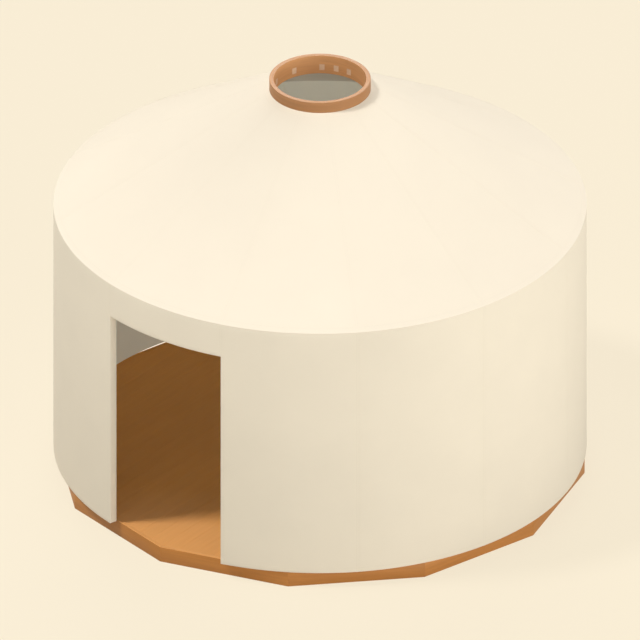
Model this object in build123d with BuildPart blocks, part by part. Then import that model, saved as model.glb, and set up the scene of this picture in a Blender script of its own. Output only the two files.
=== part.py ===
"""A round yurt on a twelve-sided timber deck.

The frame is +Z up, with the origin at the centre of the deck's underside. The doorway faces -Y.
Azimuths are measured from +X, counter-clockwise seen from above. All sizes are in millimetres.

The building, from the ground up:
  deck   twelve mitred rim boards round parallel joists, with a floor in strips on the joists
  wall   eleven padded panels and a lintel panel over the doorway, each one bay wide
  roof   square poles from notches in the wall's top to mortises in the crown ring, with a cover
         on them and a lining under them
  crown  an open timber ring, proud of the roof cover
"""

import os
from math import atan, ceil, cos, degrees, radians, sin, tan

from build123d import *

# Plan
BAYS = 12  # sides of the deck, and bays of the wall with the doorway counted
BAY_ANGLE = 360 / BAYS
DOOR_AZIMUTH = 270.0
WALL_RADIUS = 2100.0  # outer face of the wall, and the corners of the deck

# Deck
DECK_HEIGHT = 130.0
RIM_THICKNESS = 30.0
FLOOR_THICKNESS = 28.0
FLOOR_STRIPS = 6
JOIST_WIDTH = 45.0
JOIST_SPACING_MAX = 400.0

# Wall
WALL_THICKNESS = 61.0
WALL_HEIGHT = 2160.0  # deck top to the eave, which is the outer edge of the roof cover
LINTEL_DEPTH = 290.0  # eave down to the head of the doorway

# Roof
ROOF_PITCH = 31.5
COVER_THICKNESS = 8.0
COVER_SECTORS = 6
LINING_THICKNESS = 7.0
LINING_GORES = 12

# Roof poles
POLES = 20
POLE_WIDTH = 40.0
POLE_DEPTH = 44.0
POLE_TURN = -1.5  # the first pole's azimuth
POLE_SEAT = 35.0  # how far a pole's foot reaches into the wall
THROUGH_POLES = (1, 5, 6, 7, 9, 11, 15, 16, 17, 19)  # the others stop inside the crown ring
BLIND_SKIN = 12.0  # wood left between a stopped pole and the ring's inner face

# Crown ring
CROWN_RADIUS = 400.0
CROWN_THICKNESS = 36.0
CROWN_HEIGHT = 160.0
CROWN_PROUD = 90.0  # from the roof cover up to the ring's top
CROWN_EDGE = 3.0  # rounding of the ring's four edges

# Clearances
POLE_GAP = 0.5  # round a pole, in its notch and mortise, and to the cover and the lining
SEAT_GAP = 0.3  # between curved faces that bear on each other

# Heights, depths and radii that follow
PITCH_COS = cos(radians(ROOF_PITCH))
EAVE_Z = DECK_HEIGHT + WALL_HEIGHT
DOOR_HEAD_Z = EAVE_Z - LINTEL_DEPTH
JOIST_HEIGHT = DECK_HEIGHT - FLOOR_THICKNESS
WALL_INNER_RADIUS = WALL_RADIUS - WALL_THICKNESS
CROWN_INNER_RADIUS = CROWN_RADIUS - CROWN_THICKNESS
RIM_INNER_CORNER = WALL_RADIUS - RIM_THICKNESS / cos(radians(BAY_ANGLE / 2))
RIM_INNER_APOTHEM = RIM_INNER_CORNER * cos(radians(BAY_ANGLE / 2))
POLE_TOP_DEPTH = COVER_THICKNESS + POLE_GAP  # below the cover's outer face, square to the pitch
POLE_BOTTOM_DEPTH = POLE_TOP_DEPTH + POLE_DEPTH
LINING_TOP_DEPTH = POLE_BOTTOM_DEPTH + POLE_GAP
LINING_BOTTOM_DEPTH = LINING_TOP_DEPTH + LINING_THICKNESS
POLE_FOOT_RADIUS = WALL_INNER_RADIUS + POLE_SEAT
STOPPED_END_RADIUS = CROWN_INNER_RADIUS + BLIND_SKIN

pieces = []


def keep(piece, name):
    """Labels a finished piece and keeps it for the export."""
    piece.part.label = name
    pieces.append(piece.part)


def roof_z(radius, depth=0.0):
    """Height of the roof's outer face at a radius, or of a face that lies depth below it."""
    return EAVE_Z + (WALL_RADIUS - radius) * tan(radians(ROOF_PITCH)) - depth / PITCH_COS


def radial_plane(azimuth):
    """The upright plane through the axis at an azimuth: its x is the radius, its y the height."""
    a = radians(azimuth)
    return Plane(origin=(0, 0, 0), x_dir=(cos(a), sin(a), 0), z_dir=(sin(a), -cos(a), 0))


def turn_outline(outline, azimuth, angle):
    """Turns an outline of (radius, height) points about the axis, from an azimuth over an angle."""
    with BuildSketch(radial_plane(azimuth)) as section:
        with BuildLine():
            Polyline(*outline, close=True)
        make_face()
    revolve(section.sketch, axis=Axis.Z, revolution_arc=angle)


def pole_azimuth(number):
    return POLE_TURN + number * 360 / POLES


def pole_bar(number, inner, outer, gap=0.0, open_top=0.0, mode=Mode.ADD):
    """A roof pole with plumb ends, between two radii. With a gap round it, it cuts its own seat."""
    top = POLE_TOP_DEPTH - gap - open_top
    bottom = POLE_BOTTOM_DEPTH + gap
    with BuildSketch(radial_plane(pole_azimuth(number))) as side:
        with BuildLine():
            Polyline(
                (inner, roof_z(inner, bottom)),
                (outer, roof_z(outer, bottom)),
                (outer, roof_z(outer, top)),
                (inner, roof_z(inner, top)),
                close=True,
            )
        make_face()
    extrude(side.sketch, amount=POLE_WIDTH / 2 + gap, both=True, mode=mode)


# Deck: rim boards, mitred at the corners
for bay in range(BAYS):
    corners = (bay * BAY_ANGLE, (bay + 1) * BAY_ANGLE)
    with BuildPart() as rim_board:
        with BuildSketch():
            with BuildLine():
                inner_edge = [PolarLine((0, 0), RIM_INNER_CORNER, a, mode=Mode.PRIVATE) @ 1 for a in corners]
                outer_edge = [PolarLine((0, 0), WALL_RADIUS, a, mode=Mode.PRIVATE) @ 1 for a in corners]
                Polyline(*inner_edge, *reversed(outer_edge), close=True)
            make_face()
        extrude(amount=DECK_HEIGHT)
    keep(rim_board, f"rim_board_{bay + 1:02d}")

# Deck: joists, parallel to X, cut off at the rim
joist_reach = RIM_INNER_APOTHEM - JOIST_WIDTH
joist_rows = 2 * ceil(joist_reach / JOIST_SPACING_MAX) + 1
joist_spacing = 2 * joist_reach / (joist_rows - 1)
with BuildPart() as joists:
    with BuildSketch():
        with GridLocations(0, joist_spacing, 1, joist_rows):
            Rectangle(2 * WALL_RADIUS, JOIST_WIDTH)
        RegularPolygon(RIM_INNER_CORNER, BAYS, mode=Mode.INTERSECT)
    extrude(amount=JOIST_HEIGHT)
keep(joists, "deck_joists")

# Deck: floor strips, parallel to Y, flush with the top of the rim
strip_width = 2 * RIM_INNER_CORNER / FLOOR_STRIPS
for strip in range(FLOOR_STRIPS):
    with BuildPart() as floor_strip:
        with BuildSketch(Plane.XY.offset(JOIST_HEIGHT)):
            with Locations(((strip + 0.5) * strip_width - RIM_INNER_CORNER, 0)):
                Rectangle(strip_width, 2 * WALL_RADIUS)
            RegularPolygon(RIM_INNER_CORNER, BAYS, mode=Mode.INTERSECT)
        extrude(amount=FLOOR_THICKNESS)
    keep(floor_strip, f"floor_strip_{strip + 1:02d}")

# Wall: the cover bears on its sloping top, and the feet of the poles stand in notches in it
wall_seat_depth = COVER_THICKNESS + SEAT_GAP * PITCH_COS
notch_half_angle = degrees(atan((POLE_WIDTH / 2 + POLE_GAP) / WALL_INNER_RADIUS))
for bay in range(BAYS):
    over_doorway = bay == 0
    bottom = DOOR_HEAD_Z if over_doorway else DECK_HEIGHT
    middle = DOOR_AZIMUTH + bay * BAY_ANGLE
    wall_outline = (
        (WALL_INNER_RADIUS, bottom),
        (WALL_RADIUS, bottom),
        (WALL_RADIUS, roof_z(WALL_RADIUS, wall_seat_depth)),
        (WALL_INNER_RADIUS, roof_z(WALL_INNER_RADIUS, wall_seat_depth)),
    )
    with BuildPart() as wall_panel:
        turn_outline(wall_outline, middle - BAY_ANGLE / 2, BAY_ANGLE)
        for number in range(POLES):
            away = abs((pole_azimuth(number) - middle + 180) % 360 - 180)
            if away < BAY_ANGLE / 2 + notch_half_angle:
                pole_bar(
                    number,
                    WALL_INNER_RADIUS - WALL_THICKNESS,
                    POLE_FOOT_RADIUS + POLE_GAP,
                    gap=POLE_GAP,
                    open_top=COVER_THICKNESS,
                    mode=Mode.SUBTRACT,
                )
    keep(wall_panel, "door_lintel" if over_doorway else f"wall_panel_{bay:02d}")

# Roof: poles from the wall to the crown ring
with BuildPart() as through_poles:
    for number in THROUGH_POLES:
        pole_bar(number, CROWN_INNER_RADIUS, POLE_FOOT_RADIUS)
keep(through_poles, "roof_poles_through")

with BuildPart() as stopped_poles:
    for number in range(POLES):
        if number not in THROUGH_POLES:
            pole_bar(number, STOPPED_END_RADIUS, POLE_FOOT_RADIUS)
keep(stopped_poles, "roof_poles_stopped")

# Roof: cover on the poles, its seams in line with joints of the wall
first_seam = DOOR_AZIMUTH - BAY_ANGLE / 2
cloth_inner_radius = CROWN_RADIUS + SEAT_GAP
cover_outline = (
    (cloth_inner_radius, roof_z(cloth_inner_radius, COVER_THICKNESS)),
    (WALL_RADIUS, roof_z(WALL_RADIUS, COVER_THICKNESS)),
    (WALL_RADIUS, roof_z(WALL_RADIUS)),
    (cloth_inner_radius, roof_z(cloth_inner_radius)),
)
sector_angle = 360 / COVER_SECTORS
for sector in range(COVER_SECTORS):
    with BuildPart() as roof_cover:
        turn_outline(cover_outline, first_seam + sector * sector_angle, sector_angle)
    keep(roof_cover, f"roof_cover_{sector + 1:02d}")

# Roof: lining under the poles, in gores, with every other gore in the same node
lining_outer_radius = WALL_INNER_RADIUS - SEAT_GAP
lining_outline = (
    (cloth_inner_radius, roof_z(cloth_inner_radius, LINING_BOTTOM_DEPTH)),
    (lining_outer_radius, roof_z(lining_outer_radius, LINING_BOTTOM_DEPTH)),
    (lining_outer_radius, roof_z(lining_outer_radius, LINING_TOP_DEPTH)),
    (cloth_inner_radius, roof_z(cloth_inner_radius, LINING_TOP_DEPTH)),
)
gore_angle = 360 / LINING_GORES
for first_gore, name in enumerate(("roof_lining_odd", "roof_lining_even")):
    with BuildPart() as roof_lining:
        for gore in range(first_gore, LINING_GORES, 2):
            turn_outline(lining_outline, first_seam + gore * gore_angle, gore_angle)
    keep(roof_lining, name)

# Crown ring, with a mortise for each pole
crown_top = roof_z(CROWN_RADIUS) + CROWN_PROUD
with BuildPart() as crown_ring:
    with BuildSketch(Plane.XZ):
        with Locations((CROWN_INNER_RADIUS + CROWN_THICKNESS / 2, crown_top - CROWN_HEIGHT / 2)):
            RectangleRounded(CROWN_THICKNESS, CROWN_HEIGHT, CROWN_EDGE)
    revolve(axis=Axis.Z)
    for number in range(POLES):
        through = number in THROUGH_POLES
        mortise_end = CROWN_INNER_RADIUS - CROWN_THICKNESS if through else STOPPED_END_RADIUS - POLE_GAP
        pole_bar(number, mortise_end, CROWN_RADIUS + CROWN_THICKNESS, gap=POLE_GAP, mode=Mode.SUBTRACT)
keep(crown_ring, "crown_ring")

os.makedirs("parts", exist_ok=True)
for piece in pieces:
    export_step(piece, f"parts/{piece.label}.step")
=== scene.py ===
# %% [markdown]
# # A round yurt on a timber deck
#
# The building is a ring of padded wall panels on a low twelve-sided deck, under a cone of
# canvas that hangs on poles round an open crown ring. The frame that is loaded first holds
# every piece at its real size and place. Here the pieces get their looks: boards with eased
# edges and grain, padded panels with sewn seams, and cloth that is stretched over the poles.
#
# The frame is +Z up, in metres, with the doorway facing -Y. Azimuths are measured from +X,
# counter-clockwise seen from above.

# %% Load the frame
import math

import bmesh
import bpy
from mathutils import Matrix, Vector


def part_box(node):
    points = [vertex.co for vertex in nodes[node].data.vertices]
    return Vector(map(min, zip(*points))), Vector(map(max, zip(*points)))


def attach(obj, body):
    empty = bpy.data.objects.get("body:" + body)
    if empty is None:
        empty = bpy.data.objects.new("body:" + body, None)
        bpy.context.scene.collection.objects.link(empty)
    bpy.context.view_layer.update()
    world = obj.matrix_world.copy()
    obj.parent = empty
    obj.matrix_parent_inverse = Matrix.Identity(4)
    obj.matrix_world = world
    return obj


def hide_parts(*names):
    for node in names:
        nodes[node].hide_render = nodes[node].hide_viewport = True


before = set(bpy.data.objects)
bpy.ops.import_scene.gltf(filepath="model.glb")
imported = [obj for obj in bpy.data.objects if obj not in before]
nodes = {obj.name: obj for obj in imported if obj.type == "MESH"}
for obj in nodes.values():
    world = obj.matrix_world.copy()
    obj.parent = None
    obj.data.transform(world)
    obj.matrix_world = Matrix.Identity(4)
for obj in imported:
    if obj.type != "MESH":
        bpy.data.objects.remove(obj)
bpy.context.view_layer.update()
scene = bpy.context.scene

# %% [markdown]
# ## Sizes that are read from the frame
#
# Nothing here is measured twice. The wall's two faces, the deck's top, the door head and the
# slope of the roof are read from the corners of the loaded pieces, as radius and height.

# %% Measure the frame


def turned(node):
    """A piece's corners as (radius, height) pairs."""
    return [(math.hypot(v.co.x, v.co.y), v.co.z) for v in nodes[node].data.vertices]


BAYS = 12
BAY = math.radians(360 / BAYS)
DOOR = math.radians(270)  # azimuth of the middle of the doorway

DECK_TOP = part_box("rim_board_01")[1].z
DOOR_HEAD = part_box("door_lintel")[0].z
WALL_INNER = min(r for r, z in turned("wall_panel_01"))
WALL_OUTER = max(r for r, z in turned("wall_panel_01"))
cover_corners = turned("roof_cover_01")
COVER_INNER = min(r for r, z in cover_corners)
EAVE = max(z for r, z in cover_corners if r > WALL_OUTER - 0.001)
COVER_TOP = max(z for r, z in cover_corners)
SLOPE = (COVER_TOP - EAVE) / (WALL_OUTER - COVER_INNER)
PITCH = math.atan(SLOPE)
COVER_THICK = (EAVE - min(z for r, z in cover_corners)) * math.cos(PITCH)


def roof_z(radius, depth=0.0):
    """Height of the roof's outer face at a radius, or of a face that lies depth below it."""
    return EAVE + (WALL_OUTER - radius) * SLOPE - depth / math.cos(PITCH)


print(f"wall {WALL_INNER:.4f} to {WALL_OUTER:.4f}, deck top {DECK_TOP:.3f}, door head {DOOR_HEAD:.3f}")
print(f"eave {EAVE:.4f}, roof pitch {math.degrees(PITCH):.2f} degrees")
print(f"cover {COVER_THICK * 1000:.1f} mm thick")

# %% [markdown]
# ## Camera
#
# A parallel view, from the right of the doorway and about 29 degrees above the ground. With
# no perspective, every upright stays upright and every length keeps one scale.

# %% Camera
VIEW_AZIMUTH = math.radians(36.87)
VIEW_ELEVATION = math.radians(29.25)
VIEW_WIDTH = 5.041
VIEW_REACH = 12
AIM = Vector((0.0, 0.0, 1.2395))


def towards(azimuth, elevation):
    """Unit vector from the yurt to a place round it. Azimuth 0 is in front of the doorway."""
    level = math.cos(elevation)
    return Vector((math.sin(azimuth) * level, -math.cos(azimuth) * level, math.sin(elevation)))


bpy.ops.object.camera_add()
camera = bpy.context.object
camera.name = "camera"
camera.data.type = "ORTHO"
camera.data.ortho_scale = VIEW_WIDTH
camera.data.clip_end = 100
back = towards(VIEW_AZIMUTH, VIEW_ELEVATION)
camera.location = AIM + VIEW_REACH * back
camera.rotation_euler = (-back).to_track_quat("-Z", "Y").to_euler()
scene.camera = camera
print("camera at", tuple(round(x, 2) for x in camera.location))

# %% [markdown]
# ## Helpers for modelling
#
# An operator works on whatever is selected, so each step first selects exactly what it means.
# These small helpers select objects by hand and faces by their place or direction.

# %% Select, edit and place


def only(*pieces):
    """Selects these objects and nothing else. The last one becomes active."""
    bpy.ops.object.select_all(action="DESELECT")
    for piece in pieces:
        piece.select_set(True)
    bpy.context.view_layer.objects.active = pieces[-1]


def open_all(piece):
    """Opens a piece in edit mode, with all of it selected."""
    only(piece)
    bpy.ops.object.mode_set(mode="EDIT")
    bpy.ops.mesh.select_all(action="SELECT")


def pick(piece, test, kind="faces"):
    """In edit mode, selects the faces or edges that pass a test, and counts them."""
    mesh = bmesh.from_edit_mesh(piece.data)
    bpy.ops.mesh.select_mode(type={"faces": "FACE", "edges": "EDGE"}[kind])
    bpy.ops.mesh.select_all(action="DESELECT")
    chosen = [item for item in getattr(mesh, kind) if test(item)]
    for item in chosen:
        item.select_set(True)
    mesh.select_flush_mode()
    bmesh.update_edit_mesh(piece.data)
    return len(chosen)


def radius(point):
    return math.hypot(point.x, point.y)


def azimuth(point):
    return math.atan2(point.y, point.x)


def settle(piece, name):
    """Names a finished piece, and puts its place into its mesh: the object sits at the origin."""
    only(piece)
    bpy.ops.object.transform_apply(location=True, rotation=True, scale=True)
    piece.name = piece.data.name = name
    return piece


def apply_all(piece):
    """Applies every modifier on a piece, in order."""
    only(piece)
    for modifier in list(piece.modifiers):
        bpy.ops.object.modifier_apply(modifier=modifier.name)


def copy_turned(piece, name, angle):
    """A copy with a mesh of its own, turned about the yurt's axis."""
    only(piece)
    bpy.ops.object.duplicate()
    twin = bpy.context.object
    twin.rotation_euler.z = angle
    return settle(twin, name)


def join(pieces):
    """Joins objects into the last of them."""
    only(*pieces)
    bpy.ops.object.join()
    return bpy.context.object


def mesh_facts(piece):
    """Prints a piece's size, and how many edges are open, which a closed shape has none of."""
    mesh = bmesh.new()
    mesh.from_mesh(piece.data)
    loose = sum(1 for e in mesh.edges if len(e.link_faces) != 2)
    triangles = sum(len(f.verts) - 2 for f in mesh.faces)
    litres = mesh.calc_volume() * 1000
    print(f"{piece.name}: {triangles} triangles, {loose} open edges, {litres:.1f} litres")
    mesh.free()


# %% [markdown]
# ## Rim boards of the deck
#
# Twelve planed boards on edge, mitred at the corners. One could be drawn as an extruded
# outline, but a board is more easily sawn from a blank: a block that is longer than the
# board, cut off by the two upright planes through the yurt's axis, with all its edges eased.
# It is modelled in front, lying along X, so that its grain runs along X too, and the twelve
# boards are turned copies.

# %% Rim boards
RIM_INNER = min(r for r, z in turned("rim_board_01"))
RIM_OUTER = max(r for r, z in turned("rim_board_01"))
FLATS = math.cos(BAY / 2)  # from a corner's radius to the middle of a side
MITRE_GAP = 0.00002
RIM_EASE = 0.0025
RIM_GRAIN = (1.7, 0.61)  # how far the grain map is moved from one board to the next
SHARP = math.radians(30)


def block(low, high):
    """A box between two corners, with its faces joined, ready to be cut."""
    low, high = Vector(low), Vector(high)
    bpy.ops.mesh.primitive_cube_add(size=1, location=(low + high) / 2, scale=high - low)
    piece = bpy.context.object
    bpy.ops.object.transform_apply(location=True, rotation=True, scale=True)
    return piece


def saw(piece, point, direction, keep_all=False):
    """Cuts a piece with a plane. What lies on the side of the direction falls away."""
    open_all(piece)
    bpy.ops.mesh.bisect(
        plane_co=point, plane_no=direction, use_fill=not keep_all, clear_outer=not keep_all
    )
    bpy.ops.object.mode_set(mode="OBJECT")


def ease(piece, width, segments=2):
    """Rounds every sharp edge."""
    bevel = piece.modifiers.new("eased edges", "BEVEL")
    bevel.width = width
    bevel.segments = segments
    bevel.limit_method = "ANGLE"
    bevel.angle_limit = SHARP
    bevel.use_clamp_overlap = True
    apply_all(piece)


def grain_map(piece, along=0.0, across=0.0):
    """Gives timber a map in metres, with u along X, moved so that no two boards share their grain."""
    open_all(piece)
    bpy.ops.uv.cube_project(cube_size=1.0)
    bpy.ops.object.mode_set(mode="OBJECT")
    for corner in piece.data.uv_layers.active.data:
        corner.uv += Vector((along, across))


def tone(piece, value):
    """Keeps a number from 0 to 1 on a board: how light its timber is."""
    layer = piece.data.attributes.new("tone", "FLOAT", "POINT")
    layer.data.foreach_set("value", [value] * len(piece.data.vertices))


def smooth(piece):
    only(piece)
    bpy.ops.object.shade_smooth_by_angle(angle=SHARP)


half = RIM_OUTER * math.sin(BAY / 2)
rim_blank = block((-half, -RIM_OUTER * FLATS, 0), (half, -RIM_INNER * FLATS, DECK_TOP))
for side in (-1, 1):
    mitre = Vector((side * FLATS, math.sin(BAY / 2), 0))
    saw(rim_blank, -mitre * MITRE_GAP, mitre)
ease(rim_blank, RIM_EASE)
smooth(rim_blank)

rim_boards = []
for bay in range(BAYS):
    grain_map(rim_blank, along=RIM_GRAIN[0] * bay, across=RIM_GRAIN[1] * bay)
    board = copy_turned(rim_blank, f"rim_timber_{bay + 1:02d}", BAY * (bay + 0.5) - DOOR)
    tone(board, bay * 5 % BAYS / (BAYS - 1))
    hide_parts(f"rim_board_{bay + 1:02d}")
    rim_boards.append(board)
bpy.data.objects.remove(rim_blank)
mesh_facts(rim_boards[0])


# %% [markdown]
# ## Floor boards
#
# The deck is planked with boards of one width, laid tight from front to back and cut off
# where they meet the rim. Each strip of the frame is five boards wide. A strip is planked with
# over-long boards, which the twelve sides of the rim then cut all at once, and only after the
# cuts are the edges eased, so that the ends are eased too. The boards are laid along X, as
# the rim boards are, and then turned a quarter, so that one grain map serves all timber.

# %% Floor boards
STRIPS = 6
BOARDS_IN_STRIP = 5
BOARD_GAP = 0.00004
BOARD_EASE = 0.0009
FLOOR_GRAIN = (0.83, 0.377)


def plank_strip(number):
    """The five boards of one strip of the floor."""
    low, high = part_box(f"floor_strip_{number:02d}")
    width = (high.x - low.x) / BOARDS_IN_STRIP
    boards = []
    for i in range(BOARDS_IN_STRIP):
        side = -high.x + i * width
        edges = (side + BOARD_GAP / 2, side + width - BOARD_GAP / 2)
        board = block((-WALL_OUTER, edges[0], low.z), (WALL_OUTER, edges[1], high.z))
        count = number * BOARDS_IN_STRIP + i
        grain_map(board, along=FLOOR_GRAIN[0] * (count * 7 % 13), across=FLOOR_GRAIN[1] * count)
        tone(board, count * 5 % 11 / 10)
        boards.append(board)
    strip = join(boards)
    for k in range(BAYS):
        side = Vector((math.cos(BAY * (k + 0.5)), math.sin(BAY * (k + 0.5)), 0))
        saw(strip, side * (RIM_INNER * FLATS - BOARD_GAP), side)
    ease(strip, BOARD_EASE, segments=1)
    smooth(strip)
    strip.rotation_euler.z = math.radians(90)
    return settle(strip, f"floor_planks_{number:02d}")


floor_planks = []
for number in range(1, STRIPS + 1):
    planks = plank_strip(number)
    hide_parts(f"floor_strip_{number:02d}")
    floor_planks.append(planks)
    mesh_facts(planks)


# %% [markdown]
# ## Wall panels: the shape
#
# The wall is eleven padded panels of one size, and a short one over the door. Each is two
# faces of canvas round a filling. The section of a panel is a strip of squares that stands
# upright on the rim, with its top cut to the slope of the roof. Spinning it about the yurt's
# axis through one bay gives the whole panel, closed at both ends. The rows of squares are
# there for the filling, which needs a fine net to swell.

# %% Spin a panel
PANEL_STEPS = 36
PANEL_ROW = 0.03
WALL_TOP = max(z for r, z in turned("wall_panel_01") if r > WALL_OUTER - 0.0005)
EASED_EDGE = 0.002


def section(inner, outer, low, high, columns, rows):
    """An upright rectangle of small squares at azimuth 0, between two radii and two heights."""
    bpy.ops.mesh.primitive_grid_add(
        x_subdivisions=columns,
        y_subdivisions=rows,
        size=1,
        location=((inner + outer) / 2, 0, (low + high) / 2),
        rotation=(math.pi / 2, 0, 0),
    )
    piece = bpy.context.object
    piece.scale = (outer - inner, high - low, 1)
    bpy.ops.object.transform_apply(location=True, rotation=True, scale=True)
    return piece


def slope_top(piece, reach):
    """Leans the top of a section to the roof's slope, more and more over the last of its height."""
    top = max(v.co.z for v in piece.data.vertices)
    for v in piece.data.vertices:
        share = max(0.0, 1 - (top - v.co.z) / reach)
        v.co.z += share * (WALL_OUTER - radius(v.co)) * SLOPE


def spin(piece, angle, steps):
    """Sweeps a section about the yurt's axis, counter-clockwise, and orients the closed shape."""
    open_all(piece)
    # With no window the spin goes clockwise about +Z, so it is given the opposite angle.
    bpy.ops.mesh.spin(steps=steps, angle=-angle, center=(0, 0, 0), axis=(0, 0, 1))
    bpy.ops.mesh.select_all(action="SELECT")
    bpy.ops.mesh.remove_doubles(threshold=0.00001)
    bpy.ops.mesh.normals_make_consistent(inside=False)
    bpy.ops.object.mode_set(mode="OBJECT")


def wall_panel(low, name):
    """A panel of the wall from a height up to the roof, over one bay from azimuth 0."""
    rows = round((WALL_TOP - low) / PANEL_ROW)
    panel = section(WALL_INNER, WALL_OUTER, low, WALL_TOP, columns=2, rows=rows)
    slope_top(panel, reach=3 * PANEL_ROW)
    spin(panel, BAY, PANEL_STEPS)
    return settle(panel, name)


panel = wall_panel(DECK_TOP, "panel")
lintel = wall_panel(DOOR_HEAD, "lintel")
mesh_facts(panel)
mesh_facts(lintel)


# %% [markdown]
# ## Wall panels: the filling
#
# A panel is sewn round its edges and filled, so its faces swell a little between the sewn
# edges. Cloth simulation does that honestly: the closed net is blown up from inside, while its
# edges are held. A panel is stiff with filling, so the swelling is scaled down to a few
# millimetres, which keeps the wall's round line. The result is applied, so no simulation is
# left on the piece.

# %% Fill the panels
HELD_EDGE = 0.045
PANEL_SWELL = 0.0030
LINTEL_SWELL = 0.0010
SWELL_PRESSURE = 4
SWELL_FRAMES = 20


def swell(piece, most):
    """Blows up a closed pad between its held edges. No point moves more than most."""
    flat = [v.co.copy() for v in piece.data.vertices]
    low = min(p.z for p in flat)
    top = max(p.z for p in flat)
    held = piece.vertex_groups.new(name="held")
    for v in piece.data.vertices:
        end = WALL_OUTER * min(azimuth(v.co), BAY - azimuth(v.co))
        if min(end, v.co.z - low) < HELD_EDGE or top - v.co.z < HELD_EDGE + 2 * PANEL_ROW:
            held.add([v.index], 1.0, "REPLACE")
    filling = piece.modifiers.new("filling", "CLOTH")
    filling.settings.vertex_group_mass = "held"
    filling.settings.use_pressure = True
    filling.settings.uniform_pressure_force = SWELL_PRESSURE
    filling.settings.effector_weights.gravity = 0
    filling.point_cache.frame_end = SWELL_FRAMES
    for number in range(1, SWELL_FRAMES + 1):
        scene.frame_set(number)
    apply_all(piece)
    scene.frame_set(1)
    piece.vertex_groups.clear()
    moved = [v.co - p for v, p in zip(piece.data.vertices, flat)]
    furthest = max(m.length for m in moved)
    for v, p, m in zip(piece.data.vertices, flat, moved):
        v.co = p + m * min(1.0, most / furthest)
    print(f"{piece.name} swelled by {furthest * 1000:.1f} mm, and keeps at most {most * 1000:.1f} mm")


swell(panel, PANEL_SWELL)
swell(lintel, LINTEL_SWELL)

# %% [markdown]
# ## Wall panels: hems, bindings and seams
#
# Three things are sewn on to the panels. The foot of each panel has a broad hem, the doorway
# is bound with a tape that folds round the panels' ends, and each joint between two panels is
# covered by a narrow strip with a row of stitches along each edge. A hem or a binding is the
# same cloth laid double, so those faces are extruded outwards by a cloth's thickness. A strip
# lies over two panels, so it is a thin spun band of its own, joined to the panel on its right.

# %% Hems, bindings and easing
HEM = 0.040
CLOTH = 0.0004
STRIP_WIDTH = 0.024
STITCH_INSET = 0.003  # from a strip's edge to its row of stitches
UNSEWN = 1.0  # a distance from the nearest stitches that no stitch reaches


def inflate(piece, test, thickness):
    """Lays the faces that pass a test double: they are extruded outwards by a cloth's thickness."""
    only(piece)
    bpy.ops.object.mode_set(mode="EDIT")
    count = pick(piece, test)
    bpy.ops.mesh.extrude_region_shrink_fatten(TRANSFORM_OT_shrink_fatten={"value": thickness})
    bpy.ops.object.mode_set(mode="OBJECT")
    return count


def ease_edges(piece, test, width):
    """Rounds the edges that pass a test."""
    only(piece)
    bpy.ops.object.mode_set(mode="EDIT")
    count = pick(piece, test, "edges")
    bpy.ops.mesh.bevel(offset=width, segments=2, affect="EDGES", clamp_overlap=True)
    bpy.ops.object.mode_set(mode="OBJECT")
    return count


def outward(face):
    """How far a face looks away from the yurt's axis, from -1 to 1."""
    middle_point = face.calc_center_median()
    return (face.normal.x * middle_point.x + face.normal.y * middle_point.y) / radius(middle_point)


def sharp(edge):
    return len(edge.link_faces) == 2 and edge.calc_face_angle() > math.radians(50)


eased = ease_edges(panel, sharp, EASED_EDGE)
ease_edges(lintel, sharp, EASED_EDGE)
saw(panel, (0, 0, DECK_TOP + HEM), (0, 0, 1), keep_all=True)
hemmed = inflate(
    panel, lambda f: outward(f) > 0.9 and f.calc_center_median().z < DECK_TOP + HEM, CLOTH
)
print(f"{eased} edges eased, {hemmed} faces in the foot hem")
mesh_facts(panel)

# %% [markdown]
# The doorway's two panels differ from the others only by their binding, so they are copies of
# the common panel with one more step. The binding stops at the door head, where the short
# panel over the door begins, and the short panel's own edge is bound in the same way.

# %% Bind the doorway
BINDING = 0.0010
COLUMN = WALL_OUTER * BAY / PANEL_STEPS


def from_end(point, high_end):
    """Distance round the wall from a panel's end, at its low or its high azimuth."""
    return WALL_OUTER * (BAY - azimuth(point) if high_end else azimuth(point))


def bind_jamb(source, name, high_end):
    """A copy of the panel whose end at the doorway is bound up to the door head."""
    piece = copy_turned(source, name, 0)
    saw(piece, (0, 0, DOOR_HEAD), (0, 0, 1), keep_all=True)

    def bound(face):
        point = face.calc_center_median()
        beside = from_end(point, high_end) < COLUMN
        return beside and point.z < DOOR_HEAD and abs(face.normal.z) < 0.7

    inflate(piece, bound, BINDING)
    return piece


jambs = {1: bind_jamb(panel, "right jamb", False), 11: bind_jamb(panel, "left jamb", True)}
head_row = min(v.co.z for v in lintel.data.vertices if v.co.z > DOOR_HEAD + 0.02)
inflate(
    lintel,
    lambda f: f.calc_center_median().z < head_row and (abs(outward(f)) > 0.5 or f.normal.z < -0.5),
    BINDING,
)
mesh_facts(jambs[1])
mesh_facts(lintel)

# %% [markdown]
# ## Wall panels: maps, strips and the eleven places
#
# Cloth shows its weave in the direction it was woven, so the panels get a map in metres, with
# u round the wall and v up it. A second map says how far each point is from the nearest row of
# stitches, and how far along it, so the finish can put the stitches exactly on the seams.
# Turned copies of the panel then make the wall.

# %% Map the panels and put them in place
STRIP_PROUD = 0.0006


def map_cloth(piece, flat, stitched):
    """Adds the two maps. Each is a function of a face and a point on it."""
    mesh = piece.data
    while mesh.uv_layers:
        mesh.uv_layers.remove(mesh.uv_layers[0])
    names = [mesh.uv_layers.new(name=name).name for name in ("cloth", "sewn")]
    work = bmesh.new()
    work.from_mesh(mesh)
    work.normal_update()
    cloth, sewn = (work.loops.layers.uv[name] for name in names)
    for face in work.faces:
        for corner in face.loops:
            corner[cloth].uv = flat(face, corner.vert.co)
            corner[sewn].uv = stitched(face, corner.vert.co)
    work.to_mesh(mesh)
    work.free()


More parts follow.
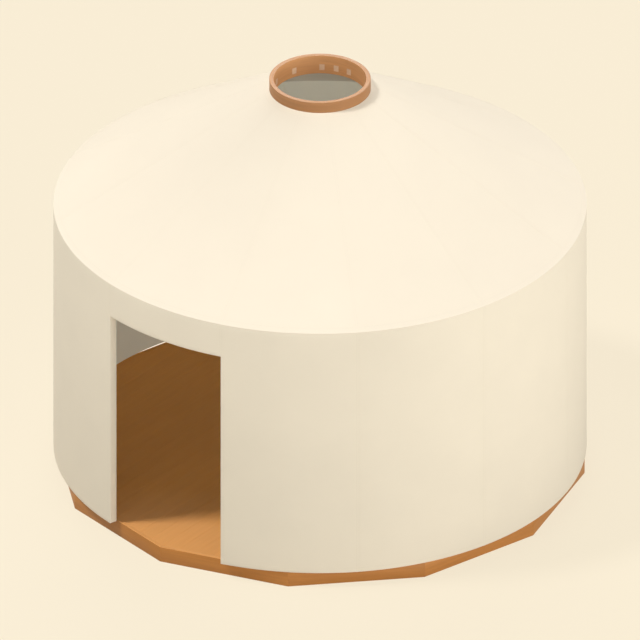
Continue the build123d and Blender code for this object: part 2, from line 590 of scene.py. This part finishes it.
def wall_flat(face, point):
    """Cloth map of the wall: round and up, with the top, the foot and the ends folded over."""
    arc = WALL_OUTER * azimuth(point)
    if abs(face.normal.z) > 0.7:
        return (arc, radius(point))
    if abs(outward(face)) < 0.3:
        return (radius(point), point.z)
    return (arc, point.z)


def wall_stitched(jamb=None):
    """Stitches of a panel: one row on its foot hem, and one on the binding of its jamb."""

    def stitched(face, point):
        center = face.calc_center_median()
        if jamb is not None and center.z < DOOR_HEAD and from_end(center, jamb) < COLUMN:
            return (point.z, from_end(point, jamb) - COLUMN + STITCH_INSET)
        if outward(face) > 0.9 and center.z < DECK_TOP + HEM:
            return (WALL_OUTER * azimuth(point), point.z - DECK_TOP - HEM + STITCH_INSET)
        return (0, UNSEWN)

    return stitched


def lintel_stitched(face, point):
    if abs(outward(face)) > 0.5 and face.calc_center_median().z < head_row:
        return (WALL_OUTER * azimuth(point), head_row - point.z - STITCH_INSET)
    return (0, UNSEWN)


def seam_strip(low, name):
    """The strip that covers the joint at azimuth 0, from a height to the top of the wall."""
    top = WALL_TOP - CLOTH
    strip = section(WALL_OUTER - CLOTH, WALL_OUTER + STRIP_PROUD, low, top, columns=1, rows=12)
    spin(strip, STRIP_WIDTH / WALL_OUTER, 4)
    only(strip)
    strip.rotation_euler.z = -STRIP_WIDTH / WALL_OUTER / 2
    settle(strip, name)
    middle_inset = STRIP_WIDTH / 2 - STITCH_INSET
    map_cloth(strip, wall_flat, lambda f, p: (p.z, abs(azimuth(p)) * WALL_OUTER - middle_inset))
    return strip


map_cloth(panel, wall_flat, wall_stitched())
map_cloth(jambs[1], wall_flat, wall_stitched(jamb=False))
map_cloth(jambs[11], wall_flat, wall_stitched(jamb=True))
map_cloth(lintel, wall_flat, lintel_stitched)
long_strip = seam_strip(DECK_TOP, "long strip")
short_strip = seam_strip(DOOR_HEAD, "short strip")


def place_panel(source, strip, name, node, turn):
    """Sets copies of a panel and its strip in a bay, and moves the weave on by as much."""
    body = copy_turned(source, name, 0)
    cover = copy_turned(strip, "cover", 0)
    piece = join([cover, body])
    for layer in piece.data.uv_layers[:1]:
        for corner in layer.data:
            corner.uv.x += WALL_OUTER * turn
    smooth(piece)
    only(piece)
    piece.rotation_euler.z = turn
    settle(piece, name)
    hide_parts(node)
    return piece


wall = []
for number in range(1, BAYS):
    turn = DOOR + BAY * (number - 0.5)
    source = jambs.get(number, panel)
    strip = short_strip if number == 1 else long_strip
    name = f"padded_wall_{number:02d}"
    wall.append(place_panel(source, strip, name, f"wall_panel_{number:02d}", turn))
wall.append(place_panel(lintel, short_strip, "padded_lintel", "door_lintel", DOOR - BAY / 2))
for piece in (panel, lintel, long_strip, short_strip, *jambs.values()):
    bpy.data.objects.remove(piece)
for piece in (wall[0], wall[4], wall[-1]):
    mesh_facts(piece)

# %% [markdown]
# ## Roof cover: the shape
#
# The cover is six sheets of canvas-faced felt, each sewn from two gores. Its section is a
# slanting strip with plumb ends, one end flush with the wall and the other against the crown
# ring. Spinning the strip through a sixth of the circle gives one sheet. Its edges at the eave
# and the crown are laid double as hems. The gores are joined under narrow strips, which have
# parallel sides, so they are extruded sideways from a section of their own.

# %% Make one sheet of the cover
SHEETS = 6
ROOF_COLUMNS = 40
ROOF_STEPS = 48
GORE_SHIFT = 0.37  # moves the weave on from one gore to the next


def slanting(inner, outer, under, over, columns):
    """A section that follows the roof's slope, between two depths, measured square to the slope."""
    plumb = 1 / math.cos(PITCH)
    piece = section(inner, outer, -under * plumb, over * plumb, columns=columns, rows=1)
    for v in piece.data.vertices:
        v.co.z += roof_z(v.co.x)
    return piece


def roof_strip(inner, outer, under, over, columns):
    """A strip over a seam at azimuth 0, with parallel sides."""
    strip = slanting(inner, outer, under, over, columns)
    open_all(strip)
    bpy.ops.transform.translate(value=(0, -STRIP_WIDTH / 2, 0))
    for _ in range(2):
        bpy.ops.mesh.extrude_region_move(TRANSFORM_OT_translate={"value": (0, STRIP_WIDTH / 2, 0)})
    bpy.ops.mesh.select_all(action="SELECT")
    bpy.ops.mesh.normals_make_consistent(inside=False)
    bpy.ops.object.mode_set(mode="OBJECT")
    return strip


def gore_flat(gore):
    """A map of the cone laid flat, with v up the middle of each gore and u across it, in metres."""

    def flat(face, point):
        number = math.floor(azimuth(face.calc_center_median()) / gore)
        apart = (azimuth(point) - (number + 0.5) * gore) * math.cos(PITCH)
        slant = radius(point) / math.cos(PITCH)
        return (slant * math.sin(apart) + number, slant * math.cos(apart) + GORE_SHIFT * number)

    return flat


def strip_stitched(face, point):
    return (point.x / math.cos(PITCH), abs(point.y) - STRIP_WIDTH / 2 + STITCH_INSET)


def hem_stitched(inner, outer, facing):
    """Stitches on the hem at each end of a roof sheet, on the side that looks up or down."""

    def stitched(face, point):
        center = radius(face.calc_center_median())
        along = radius(point) * azimuth(point)
        if face.normal.z * facing < 0.5 or inner < center < outer:
            return (along, UNSEWN)
        edge = radius(point) - outer if center > outer else inner - radius(point)
        return (along, edge - STITCH_INSET)

    return stitched


def roof_sheet(inner, outer, under, over, angle, seams, facing):
    """A sheet of the roof from azimuth 0, with hems at its ends and strips over its seams."""
    sheet = slanting(inner, outer, under, over, ROOF_COLUMNS)
    spin(sheet, angle, round(ROOF_STEPS * angle * SHEETS / math.tau))
    column = (outer - inner) / ROOF_COLUMNS
    low, high = inner + column, outer - column
    inflate(
        sheet,
        lambda f: f.normal.z * facing > 0.5 and not low < radius(f.calc_center_median()) < high,
        CLOTH,
    )
    map_cloth(sheet, gore_flat(BAY), hem_stitched(low, high, facing))
    parts = []
    for seam in seams:
        if facing > 0:
            strip = roof_strip(inner, outer, CLOTH, STRIP_PROUD, ROOF_COLUMNS)
        else:
            strip = roof_strip(inner, outer, under + STRIP_PROUD, CLOTH - under, ROOF_COLUMNS)
        map_cloth(strip, gore_flat(BAY), strip_stitched)
        parts.append(copy_turned(strip, "strip", seam))
        bpy.data.objects.remove(strip)
    return join([*parts, sheet])


cover_sheet = roof_sheet(
    COVER_INNER, WALL_OUTER, COVER_THICK, 0.0, math.tau / SHEETS, seams=(0, BAY), facing=1
)
mesh_facts(cover_sheet)

# %% [markdown]
# ## Roof cover: hung on the poles
#
# Canvas that is pulled tight over poles dips a few millimetres between them. The dip is widest
# where the poles are widest apart, and dies out at the hems, which are held. A Displace
# modifier lowers the cloth by that much, through a vertex group that says how far each corner
# is from the poles. Where the poles stand is measured on the frame.

# %% Stretch the cover over the poles
POLES = 20
POLE_NODES = ["roof_poles_through", "roof_poles_stopped"]
POLE_HALF = math.radians(1.2)
COVER_DIP = 0.0035
HELD_HEM = 0.16

turns = [
    POLES * math.atan2(v.co.y, v.co.x)
    for node in POLE_NODES
    for v in nodes[node].data.vertices
    if radius(v.co) > 1
]
POLE_START = math.atan2(sum(map(math.sin, turns)), sum(map(math.cos, turns))) / POLES


def dip(point, inner, outer):
    """From 0 on a pole or a hem to 1 in the middle of the widest span."""
    span = math.tau / POLES
    beside = abs((azimuth(point) - POLE_START + span / 2) % span - span / 2)
    share = max(0.0, beside - POLE_HALF) / (span / 2 - POLE_HALF)
    hems = min(1.0, (radius(point) - inner) / HELD_HEM, (outer - radius(point)) / HELD_HEM)
    return math.sin(share * math.pi / 2) ** 2 * max(0.0, hems) * (radius(point) / outer) ** 2


def let_dip(piece, depth, inner, outer):
    group = piece.vertex_groups.new(name="dip")
    for v in piece.data.vertices:
        group.add([v.index], dip(v.co, inner, outer), "REPLACE")
    lower = piece.modifiers.new("dip", "DISPLACE")
    lower.direction = "Z"
    lower.mid_level = 0
    lower.strength = -depth
    lower.vertex_group = "dip"
    apply_all(piece)
    piece.vertex_groups.clear()


def cut_size(inner, outer, angle, name):
    """A piece of the cone laid flat, as it is cut: its width and length, and its area."""
    near, far = (r / math.cos(PITCH) for r in (inner, outer))
    half = angle * math.cos(PITCH) / 2
    size = (2 * far * math.sin(half), far - near * math.cos(half))
    area = (far**2 - near**2) * half
    print(f"a {name} is cut from {size[0]:.3f} x {size[1]:.3f} m, {area:.3f} square metres")
    return size, area


ROOF_START = DOOR - BAY / 2
sheet_cut = cut_size(COVER_INNER, WALL_OUTER, math.tau / SHEETS, "sheet")
cover = []
for number in range(SHEETS):
    turn = ROOF_START + number * math.tau / SHEETS
    sheet = copy_turned(cover_sheet, f"cover_sheet_{number + 1:02d}", turn)
    let_dip(sheet, COVER_DIP, COVER_INNER, WALL_OUTER)
    smooth(sheet)
    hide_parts(f"roof_cover_{number + 1:02d}")
    cover.append(sheet)
bpy.data.objects.remove(cover_sheet)
mesh_facts(cover[0])
print(f"poles start at {math.degrees(POLE_START):.2f} degrees")

# %% [markdown]
# ## Roof lining
#
# Under the poles hangs a lining of twelve gores. It is made in the same way as the cover, one
# gore at a time, with its strip on the side that looks into the room. It only hangs, so it
# bellies down a little more than the cover does.

# %% Make and hang the lining
LINING_DIP = 0.006

lining_corners = turned("roof_lining_odd")
LINING_INNER = min(r for r, z in lining_corners)
LINING_OUTER = max(r for r, z in lining_corners)
depths = [(roof_z(r) - z) * math.cos(PITCH) for r, z in lining_corners]
gore_sheet = roof_sheet(
    LINING_INNER, LINING_OUTER, max(depths), -min(depths), BAY, seams=(0,), facing=-1
)
gore_cut = cut_size(LINING_INNER, LINING_OUTER, BAY, "gore")
lining = []
for number in range(BAYS):
    gore = copy_turned(gore_sheet, f"lining_gore_{number + 1:02d}", ROOF_START + number * BAY)
    let_dip(gore, LINING_DIP, LINING_INNER, LINING_OUTER)
    smooth(gore)
    lining.append(gore)
bpy.data.objects.remove(gore_sheet)
for parity, node in enumerate(("roof_lining_odd", "roof_lining_even")):
    for gore in lining[parity::2]:
        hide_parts(node)
mesh_facts(lining[0])

# %% [markdown]
# ## Finishes: a few helpers
#
# A finish is a web of nodes. These helpers add a node with its settings, link an input to a
# number or to another node, and do sums, so that each finish below reads like a recipe.

# %% Helpers for finishes


def finish(name, roughness, **sockets):
    """A new material, with numbers that are the same all over set on the shader itself."""
    look = bpy.data.materials.new(name)
    look.use_nodes = True
    shader = look.node_tree.nodes["Principled BSDF"]
    shader.inputs["Roughness"].default_value = roughness
    for socket, value in sockets.items():
        shader.inputs[socket.replace("_", " ")].default_value = value
    return look.node_tree, shader


def wire(tree, value, socket):
    """Feeds a socket from another node, or sets it to a number, a vector or a colour."""
    if isinstance(value, bpy.types.NodeSocket):
        tree.links.new(value, socket)
    else:
        socket.default_value = value


def sum_of(tree, operation, first, second=0.0):
    """One step of arithmetic on numbers."""
    step = tree.nodes.new("ShaderNodeMath")
    step.operation = operation
    for value, socket in zip((first, second), step.inputs):
        wire(tree, value, socket)
    return step.outputs[0]


def times(tree, first, second):
    return sum_of(tree, "MULTIPLY", first, second)


def plus(tree, first, second):
    return sum_of(tree, "ADD", first, second)


def mixed_of(tree, first, second, share):
    """Two patterns in one: a share of the first, and the rest of the second."""
    return plus(tree, times(tree, first, share), times(tree, second, round(1 - share, 2)))


def length_of(tree, x, y):
    """The length of a line on the plan, from its two sides."""
    return sum_of(tree, "SQRT", plus(tree, times(tree, x, x), times(tree, y, y)))


def vector_of(tree, x=0.0, y=0.0, z=0.0):
    joined = tree.nodes.new("ShaderNodeCombineXYZ")
    for value, socket in zip((x, y, z), joined.inputs):
        wire(tree, value, socket)
    return joined.outputs[0]


def parts_of(tree, vector):
    split = tree.nodes.new("ShaderNodeSeparateXYZ")
    wire(tree, vector, split.inputs[0])
    return split.outputs[0], split.outputs[1], split.outputs[2]


def noise(tree, vector, scale, detail=2.0):
    """Soft noise from 0 to 1 about the middle, on a vector in metres."""
    cloud = tree.nodes.new("ShaderNodeTexNoise")
    wire(tree, vector, cloud.inputs["Vector"])
    cloud.inputs["Scale"].default_value = scale
    cloud.inputs["Detail"].default_value = detail
    return cloud.outputs["Fac"]


def spread(tree, value, low, high, to_low=0.0, to_high=1.0):
    """Maps a range of numbers to another range, and stays inside it."""
    change = tree.nodes.new("ShaderNodeMapRange")
    for number, socket in zip((value, low, high, to_low, to_high), change.inputs):
        wire(tree, number, socket)
    return change.outputs[0]


def shaded(tree, colour, amount):
    """A colour made lighter or darker by a factor that changes over the surface."""
    scaled = tree.nodes.new("ShaderNodeVectorMath")
    scaled.operation = "SCALE"
    wire(tree, colour, scaled.inputs[0])
    wire(tree, amount, scaled.inputs["Scale"])
    return scaled.outputs[0]


def blend_colours(tree, share, first, second, how="MIX"):
    """Blends two colours by a share from 0 to 1. MULTIPLY tints the first with the second instead."""
    mix = tree.nodes.new("ShaderNodeMix")
    mix.data_type = "RGBA"
    mix.blend_type = how
    for value, socket in zip((share, first, second), (mix.inputs[0], mix.inputs[6], mix.inputs[7])):
        wire(tree, value, socket)
    return mix.outputs[2]


def relief(tree, shader, height, distance, strength=1.0):
    """Bump from a height between 0 and 1, where 1 stands proud by a distance in metres."""
    bump = tree.nodes.new("ShaderNodeBump")
    wire(tree, height, bump.inputs["Height"])
    bump.inputs["Distance"].default_value = distance
    bump.inputs["Strength"].default_value = strength
    tree.links.new(bump.outputs[0], shader.inputs["Normal"])


def map_named(tree, name):
    layer = tree.nodes.new("ShaderNodeUVMap")
    layer.uv_map = name
    return layer.outputs[0]


def object_place(tree):
    return tree.nodes.new("ShaderNodeTexCoord").outputs["Object"]


# %% [markdown]
# ## Canvas
#
# Heavy cotton canvas is a plain weave: each thread goes over one and under the next. Two sine
# waves, one along each thread direction, give that height when they are multiplied. Bigger,
# softer clouds of noise give the slight unevenness of undyed cloth. The stitches come from the
# second map: close to a row, the thread shows for a little more than half of each stitch. The
# surface is matt, with a faint sheen from its loose fibres.

# %% Canvas finishes
THREAD = 0.0020
STITCH = 0.0065
STITCH_HALF = 0.0007
STITCH_SHOWN = 0.62  # the part of each stitch that lies on top of the cloth
STITCH_SHADE = 0.10
# Height where the painted shade at the wall's foot fades out.
FOOT_SHADE_TOP = 1.7
FACE_DEPTH = 0.004  # how far the inner face's colour reaches into the wall
CANVAS_RELIEF = 0.0006


def canvas(name, colour, unevenness=0.02, inside=None, foot_shade=0.0):
    """Undyed canvas with its weave and its stitching. Inside is the colour of a wall's inner face,
    which is painted light, and the foot shade is painted shade towards the wall's foot.
    """
    tree, shader = finish(name, 0.88, Specular_IOR_Level=0.25, Sheen_Weight=0.08, Sheen_Roughness=0.6)
    u, v, _ = parts_of(tree, map_named(tree, "cloth"))
    warp = sum_of(tree, "SINE", times(tree, u, math.tau / THREAD))
    weft = sum_of(tree, "SINE", times(tree, v, math.tau / THREAD))
    weave = spread(tree, times(tree, warp, weft), -1, 1)

    along, beside, _ = parts_of(tree, map_named(tree, "sewn"))
    near = sum_of(tree, "LESS_THAN", sum_of(tree, "ABSOLUTE", beside), STITCH_HALF)
    step = sum_of(tree, "FRACT", sum_of(tree, "DIVIDE", along, STITCH))
    thread = times(tree, near, sum_of(tree, "LESS_THAN", step, STITCH_SHOWN))

    place = object_place(tree)
    clouds = noise(tree, place, 1.7, detail=3)
    slubs = noise(tree, vector_of(tree, times(tree, u, 6), v), 45)
    uneven = mixed_of(tree, clouds, slubs, 0.7)
    light = spread(tree, uneven, 0.3, 0.7, 1 - unevenness, 1 + unevenness)
    x, y, height = parts_of(tree, place)
    # Painted shade: the cloth is darker towards the wall's foot, fading out at a set height with an
    # uneven edge.
    shade_height = plus(tree, height, times(tree, clouds, 0.3))
    light = sum_of(tree, "SUBTRACT", light, spread(tree, shade_height, DECK_TOP, FOOT_SHADE_TOP, foot_shade, 0))
    light = sum_of(tree, "SUBTRACT", light, times(tree, thread, STITCH_SHADE))
    # Painted light: the wall's inner face takes a paler, cooler colour of its own.
    if inside is not None:
        outer = sum_of(tree, "GREATER_THAN", length_of(tree, x, y), WALL_INNER + FACE_DEPTH)
        colour = blend_colours(tree, outer, (*inside, 1), (*colour, 1))
    tree.links.new(shaded(tree, colour, light), shader.inputs["Base Color"])
    tree.links.new(spread(tree, slubs, 0.3, 0.7, 0.84, 0.93), shader.inputs["Roughness"])
    relief(tree, shader, mixed_of(tree, weave, thread, 0.25), CANVAS_RELIEF, strength=0.4)


WALL_COLOUR = (0.90, 0.81, 0.645)
ROOF_COLOUR = (0.91, 0.81, 0.65)
LINING_COLOUR = (0.78, 0.78, 0.70)
# A paler, cooler colour for the wall's inner face than for its outer face: painted light.
INNER_FACE_PAINTED_LIGHT = (0.88, 0.885, 0.765)
canvas("wall canvas", WALL_COLOUR, inside=INNER_FACE_PAINTED_LIGHT, foot_shade=0.05)
canvas("roof canvas", ROOF_COLOUR, unevenness=0.012)
canvas("lining cotton", LINING_COLOUR, unevenness=0.025)
print(f"three cloths, with threads of {THREAD * 1000:.0f} mm and stitches of {STITCH * 1000:.1f} mm")

# %% [markdown]
# ## Timber
#
# Sawn timber has long, soft streaks along its grain, with finer lines between them. Noise that
# is stretched a long way in one direction does this. Each board has its own shade, kept in its
# tone attribute. Oil gives the boards a soft shine, a little rougher in the pale streaks. Faces
# that look up take the floor's lighter colour, and the rim's sides a darker one: painted light
# on the tops and painted shade on the sides. Round the doorway the floor is painted paler still,
# a painted pool of the light that falls in at the door.

# %% Timber finishes
DARK_STREAK = (0.88, 0.80, 0.72, 1)
FLOOR_COLOUR = (0.77, 0.327, 0.055, 1)
# A paler colour round the doorway: a painted pool of the light that falls in at the door.
DOOR_LIGHT_COLOUR = (0.83, 0.385, 0.117, 1)
DOOR_LIGHT_NEAR = 0.5  # metres from the middle of the doorway
DOOR_LIGHT_FAR = 1.0
STREAKS = 26  # per metre across the grain, and the finer lines
LINES = 150
WOOD_RELIEF = 0.0004


def timber(colour, vector, tree, shader, contrast, shade=None):
    """Grain along the first direction of a vector in metres."""
    along, across, depth = parts_of(tree, vector)
    bend = noise(tree, vector_of(tree, times(tree, along, 0.6), across, depth), 1.3)
    across = plus(tree, across, times(tree, bend, 0.05))
    drawn_out = vector_of(tree, times(tree, along, 0.05), across, depth)
    streaks = noise(tree, drawn_out, STREAKS, detail=3)
    drawn_out = vector_of(tree, times(tree, along, 0.04), across, depth)
    lines = noise(tree, drawn_out, LINES, detail=2)
    pattern = mixed_of(tree, streaks, lines, 0.6)
    light = spread(tree, pattern, 0.35, 0.65, 1 - contrast, 1 + contrast)
    if shade is not None:
        light = times(tree, light, shade)
    stain = spread(tree, streaks, 0.42, 0.62, 5 * contrast, 0)
    mixed = blend_colours(tree, stain, colour, DARK_STREAK, "MULTIPLY")
    tree.links.new(shaded(tree, mixed, light), shader.inputs["Base Color"])
    tree.links.new(spread(tree, lines, 0.35, 0.65, 0.44, 0.56), shader.inputs["Roughness"])
    relief(tree, shader, pattern, WOOD_RELIEF, strength=0.5)


def floor_with_door_light(tree):
    """The floor's colour, and a paler one round the doorway: a painted pool of the light that falls in
    at the door.
    """
    x, y, _ = parts_of(tree, object_place(tree))
    reach = length_of(tree, x, plus(tree, y, WALL_OUTER))
    # Painted light: paler near the doorway's middle, fading out further in.
    door_light = spread(tree, reach, DOOR_LIGHT_NEAR, DOOR_LIGHT_FAR, 1, 0)
    return blend_colours(tree, door_light, FLOOR_COLOUR, DOOR_LIGHT_COLOUR)


def board_timber(name, contrast, tones, upright=None):
    """Timber of boards with a grain map and a tone of their own. Faces that look up take the floor's
    lighter colour and the others the upright colour: painted light and painted shade.
    """
    tree, shader = finish(name, 0.5)
    own = tree.nodes.new("ShaderNodeAttribute")
    own.attribute_name = "tone"
    shade = spread(tree, own.outputs["Fac"], 0, 1, 1 - tones, 1 + tones)
    colour = floor_with_door_light(tree)
    # Painted light and shade: faces that look up take the floor's lighter colour, the others the
    # darker upright colour.
    if upright is not None:
        facing = tree.nodes.new("ShaderNodeTexCoord").outputs["Normal"]
        level = spread(tree, parts_of(tree, facing)[2], 0.5, 0.9)
        colour = blend_colours(tree, level, upright, colour)
    timber(colour, map_named(tree, "UVMap"), tree, shader, contrast, shade)


def joist_timber(name, colour, contrast):
    """Timber whose grain runs along X, on a piece that has no map."""
    tree, shader = finish(name, 0.6, Specular_IOR_Level=0.3)
    timber(colour, object_place(tree), tree, shader, contrast)


# The rim's sides are darker than the floor of the same timber: painted shade.
RIM_SIDE_SHADE_COLOUR = (0.51, 0.205, 0.04, 1)
JOIST_COLOUR = (0.45, 0.24, 0.10, 1)
board_timber("deck timber", contrast=0.06, tones=0.04, upright=RIM_SIDE_SHADE_COLOUR)
board_timber("floor boards", contrast=0.016, tones=0.015)
joist_timber("joist timber", JOIST_COLOUR, contrast=0.12)
print("three timbers of boards, with", STREAKS, "streaks to a metre")

# %% [markdown]
# ## Timber of the poles and the ring
#
# The roof poles stand round the yurt's axis like spokes, so one grain direction can't suit them
# all. A map on each pole would do, but the frame's poles have none. So the material works out
# from the angle which pole a place is on, and how far out it is. The ring is bent up from thin
# strips glued together: its grain runs round it, with a fine line at each glue joint. Its outer
# face is painted darker and its inner face paler: painted shade and painted light.

# %% Timber of the poles and the ring
POLE_SHIFT = (2.3, 0.37)  # along and across the grain, from one pole to the next
LAMINATION = 0.009
STRIP_SHIFT = (3.1, 0.4)  # the same, from one strip of the ring to the next
ring_radii = [r for r, z in turned("crown_ring")]
RING_INNER, RING_OUTER = min(ring_radii), max(ring_radii)
RING_MIDDLE = 0.38
RING_SKIN = (0.001, 0.003)  # how deep the colour of a face goes, and where it ends


def pole_place(tree):
    """Coordinates on the poles: out along each, across it, and square to the roof."""
    x, y, z = parts_of(tree, object_place(tree))
    out = length_of(tree, x, y)
    turn = sum_of(tree, "SUBTRACT", sum_of(tree, "ARCTAN2", y, x), POLE_START)
    number = sum_of(tree, "ROUND", times(tree, turn, POLES / math.tau))
    apart = sum_of(tree, "SUBTRACT", turn, times(tree, number, math.tau / POLES))
    number = sum_of(tree, "FLOORED_MODULO", number, POLES)
    across = plus(tree, times(tree, out, apart), times(tree, number, POLE_SHIFT[1]))
    along = plus(tree, out, times(tree, number, POLE_SHIFT[0]))
    up = plus(tree, z, times(tree, out, SLOPE))
    return vector_of(tree, along, across, up)


def pole_timber(name, colour, contrast):
    """Timber whose grain runs along the roof poles."""
    tree, shader = finish(name, 0.5)
    timber(colour, pole_place(tree), tree, shader, contrast)


def crown_timber(name, colour, contrast, inner_light, outer_shade):
    """Bent laminations: grain round the ring, and a fine glue line between each two strips."""
    tree, shader = finish(name, 0.42)
    x, y, z = parts_of(tree, object_place(tree))
    out = length_of(tree, x, y)
    strips = sum_of(tree, "DIVIDE", out, LAMINATION)
    layer = sum_of(tree, "FLOOR", strips)
    turn = sum_of(tree, "ABSOLUTE", sum_of(tree, "ARCTAN2", y, x))
    along = plus(tree, times(tree, turn, RING_MIDDLE), times(tree, layer, STRIP_SHIFT[0]))
    across = plus(tree, z, times(tree, layer, STRIP_SHIFT[1]))
    beside = sum_of(tree, "SUBTRACT", sum_of(tree, "FRACT", strips), 0.5)
    glue = spread(tree, sum_of(tree, "ABSOLUTE", beside), 0.44, 0.5, 1.0, 0.8)
    inner = spread(tree, out, RING_INNER + RING_SKIN[0], RING_INNER + RING_SKIN[1], 1, 0)
    outer = spread(tree, out, RING_OUTER - RING_SKIN[1], RING_OUTER - RING_SKIN[0])
    # Painted light on the inner face and painted shade on the outer face.
    colour = blend_colours(tree, inner, colour, inner_light)
    colour = blend_colours(tree, outer, colour, outer_shade)
    timber(colour, vector_of(tree, along, across, out), tree, shader, contrast, glue)


POLE_COLOUR = (0.80, 0.55, 0.36, 1)
RING_COLOUR = (0.54, 0.255, 0.095, 1)
# The ring's inner face gets a paler colour, painted light, and its outer face a darker one, painted
# shade.
RING_INNER_LIGHT_COLOUR = (0.69, 0.35, 0.143, 1)
RING_OUTER_SHADE_COLOUR = (0.425, 0.20, 0.074, 1)
pole_timber("pole timber", POLE_COLOUR, contrast=0.07)
crown_timber("crown timber", RING_COLOUR, 0.08, RING_INNER_LIGHT_COLOUR, RING_OUTER_SHADE_COLOUR)
print(f"ring from {RING_INNER:.4f} to {RING_OUTER:.4f}, in strips of {LAMINATION * 1000:.0f} mm")

# %% [markdown]
# ## Finishes on the pieces
#
# Each finish belongs to a material slot of the record. The poles, the joists and the crown
# ring keep the shapes of the frame, and only get their timber here.

# %% Dress the pieces
SLOTS = {
    "deck_timber": ("deck timber", rim_boards),
    "floor_boards": ("floor boards", floor_planks),
    "wall_canvas": ("wall canvas", wall),
    "roof_canvas": ("roof canvas", cover),
    "roof_lining": ("lining cotton", lining),
}
KEPT = {
    "deck_joists": "joist timber",
    "roof_poles_through": "pole timber",
    "roof_poles_stopped": "pole timber",
    "crown_ring": "crown timber",
}


def dress(piece, look):
    piece.data.materials.clear()
    piece.data.materials.append(bpy.data.materials[look])


for slot, (look, pieces) in SLOTS.items():
    for piece in pieces:
        dress(piece, look)
        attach(piece, "root")
for node, look in KEPT.items():
    dress(nodes[node], look)
for cloths, cut, held in ((cover, sheet_cut, "stretched"), (lining, gore_cut, "hung")):
    for cloth in cloths:
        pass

# %% [markdown]
# ## Studio
#
# The yurt stands on a plain pale floor. A key lamp from the left looks in at the door, two
# round lamps over the left side light the top of the wall more than its foot, and broad soft
# light comes from the right and from behind. A weak fill without shadows opens the inside.
# The floor and the background share one colour. The floor throws only part of that colour
# back on to the yurt, and keeps only part of the yurt's shadow.

# %% Floor, lamps and background
GROUND_SEEN = (0.947, 0.847, 0.665, 1)
GROUND_THROWN = (0.60, 0.56, 0.49, 1)
GROUND_SHADE = 0.12  # how much of its own light and shade the floor shows

bpy.ops.mesh.primitive_plane_add(size=60, location=(0, 0, 0))
ground = bpy.context.object
ground.name = ground.data.name = "studio floor"


def seen(tree):
    """1 for rays that come from the camera, a reflection or through glass, and 0 for all others."""
    path = tree.nodes.new("ShaderNodeLightPath")
    direct = sum_of(tree, "MAXIMUM", path.outputs["Is Camera Ray"], path.outputs["Is Glossy Ray"])
    return sum_of(tree, "MAXIMUM", direct, path.outputs["Is Transmission Ray"])


def mix_shaders(tree, share, first, second):
    mixed = tree.nodes.new("ShaderNodeMixShader")
    wire(tree, share, mixed.inputs[0])
    tree.links.new(first, mixed.inputs[1])
    tree.links.new(second, mixed.inputs[2])
    return mixed.outputs[0]


def plain(tree, kind, colour):
    node = tree.nodes.new(kind)
    node.inputs["Color"].default_value = colour
    return node.outputs[0]


tree, shader = finish("studio floor", 1.0, Specular_IOR_Level=0.0, Base_Color=GROUND_THROWN)
lit = plain(tree, "ShaderNodeBsdfDiffuse", GROUND_SEEN)
even = plain(tree, "ShaderNodeEmission", GROUND_SEEN)
shown = mix_shaders(tree, GROUND_SHADE, even, lit)
look = mix_shaders(tree, seen(tree), shader.outputs[0], shown)
tree.links.new(look, tree.nodes["Material Output"].inputs["Surface"])
dress(ground, "studio floor")

# Each sun: its name, degrees round from the camera, degrees up, strength, degrees wide, shadows.
SUNS = [
    ("left key", -83, 62, 0.55, 9, True),
    ("right sky", 62, 12, 0.51, 40, True),
    ("back sky", 180, 35, 0.43, 40, True),
    ("inside fill", 25, 8, 0.26, 40, False),
]
# Each round lamp: its name, degrees round from the camera, and watts.
ROUND_LAMPS = [("left lamp", -83, 36), ("front lamp", -30, 32)]
SUN_REACH = 8
ROUND_REACH = 5.5
ROUND_HEIGHT = 5.0
ROUND_SIZE = 3.0
SKY = 0.12


def add_lamp(name, kind, energy, place, target, **settings):
    bpy.ops.object.light_add(type=kind)
    lamp = bpy.context.object
    lamp.name = lamp.data.name = name
    lamp.data.energy = energy
    for setting, value in settings.items():
        setattr(lamp.data, setting, value)
    lamp.location = place
    lamp.rotation_euler = (target - place).to_track_quat("-Z", "Y").to_euler()
    lamp.visible_camera = False


for name, round_by, up_by, strength, width, shadows in SUNS:
    place = SUN_REACH * towards(VIEW_AZIMUTH + math.radians(round_by), math.radians(up_by))
    wide = math.radians(width)
    add_lamp(name, "SUN", math.pi * strength, place, Vector(), angle=wide, use_shadow=shadows)
for name, round_by, watts in ROUND_LAMPS:
    place = ROUND_REACH * towards(VIEW_AZIMUTH + math.radians(round_by), 0)
    place.z = ROUND_HEIGHT
    add_lamp(name, "AREA", watts, place, AIM, shape="DISK", size=ROUND_SIZE)

world = bpy.data.worlds.new("studio")
scene.world = world
world.use_nodes = True
tree = world.node_tree
sky = tree.nodes["Background"]
sky.inputs["Color"].default_value = (1, 1, 1, 1)
sky.inputs["Strength"].default_value = SKY
backdrop = plain(tree, "ShaderNodeBackground", GROUND_SEEN)
look = mix_shaders(tree, seen(tree), sky.outputs[0], backdrop)
tree.links.new(look, tree.nodes["World Output"].inputs["Surface"])
scene.view_settings.view_transform = "Standard"
print(len(SUNS) + len(ROUND_LAMPS), "lamps and a sky of", SKY)
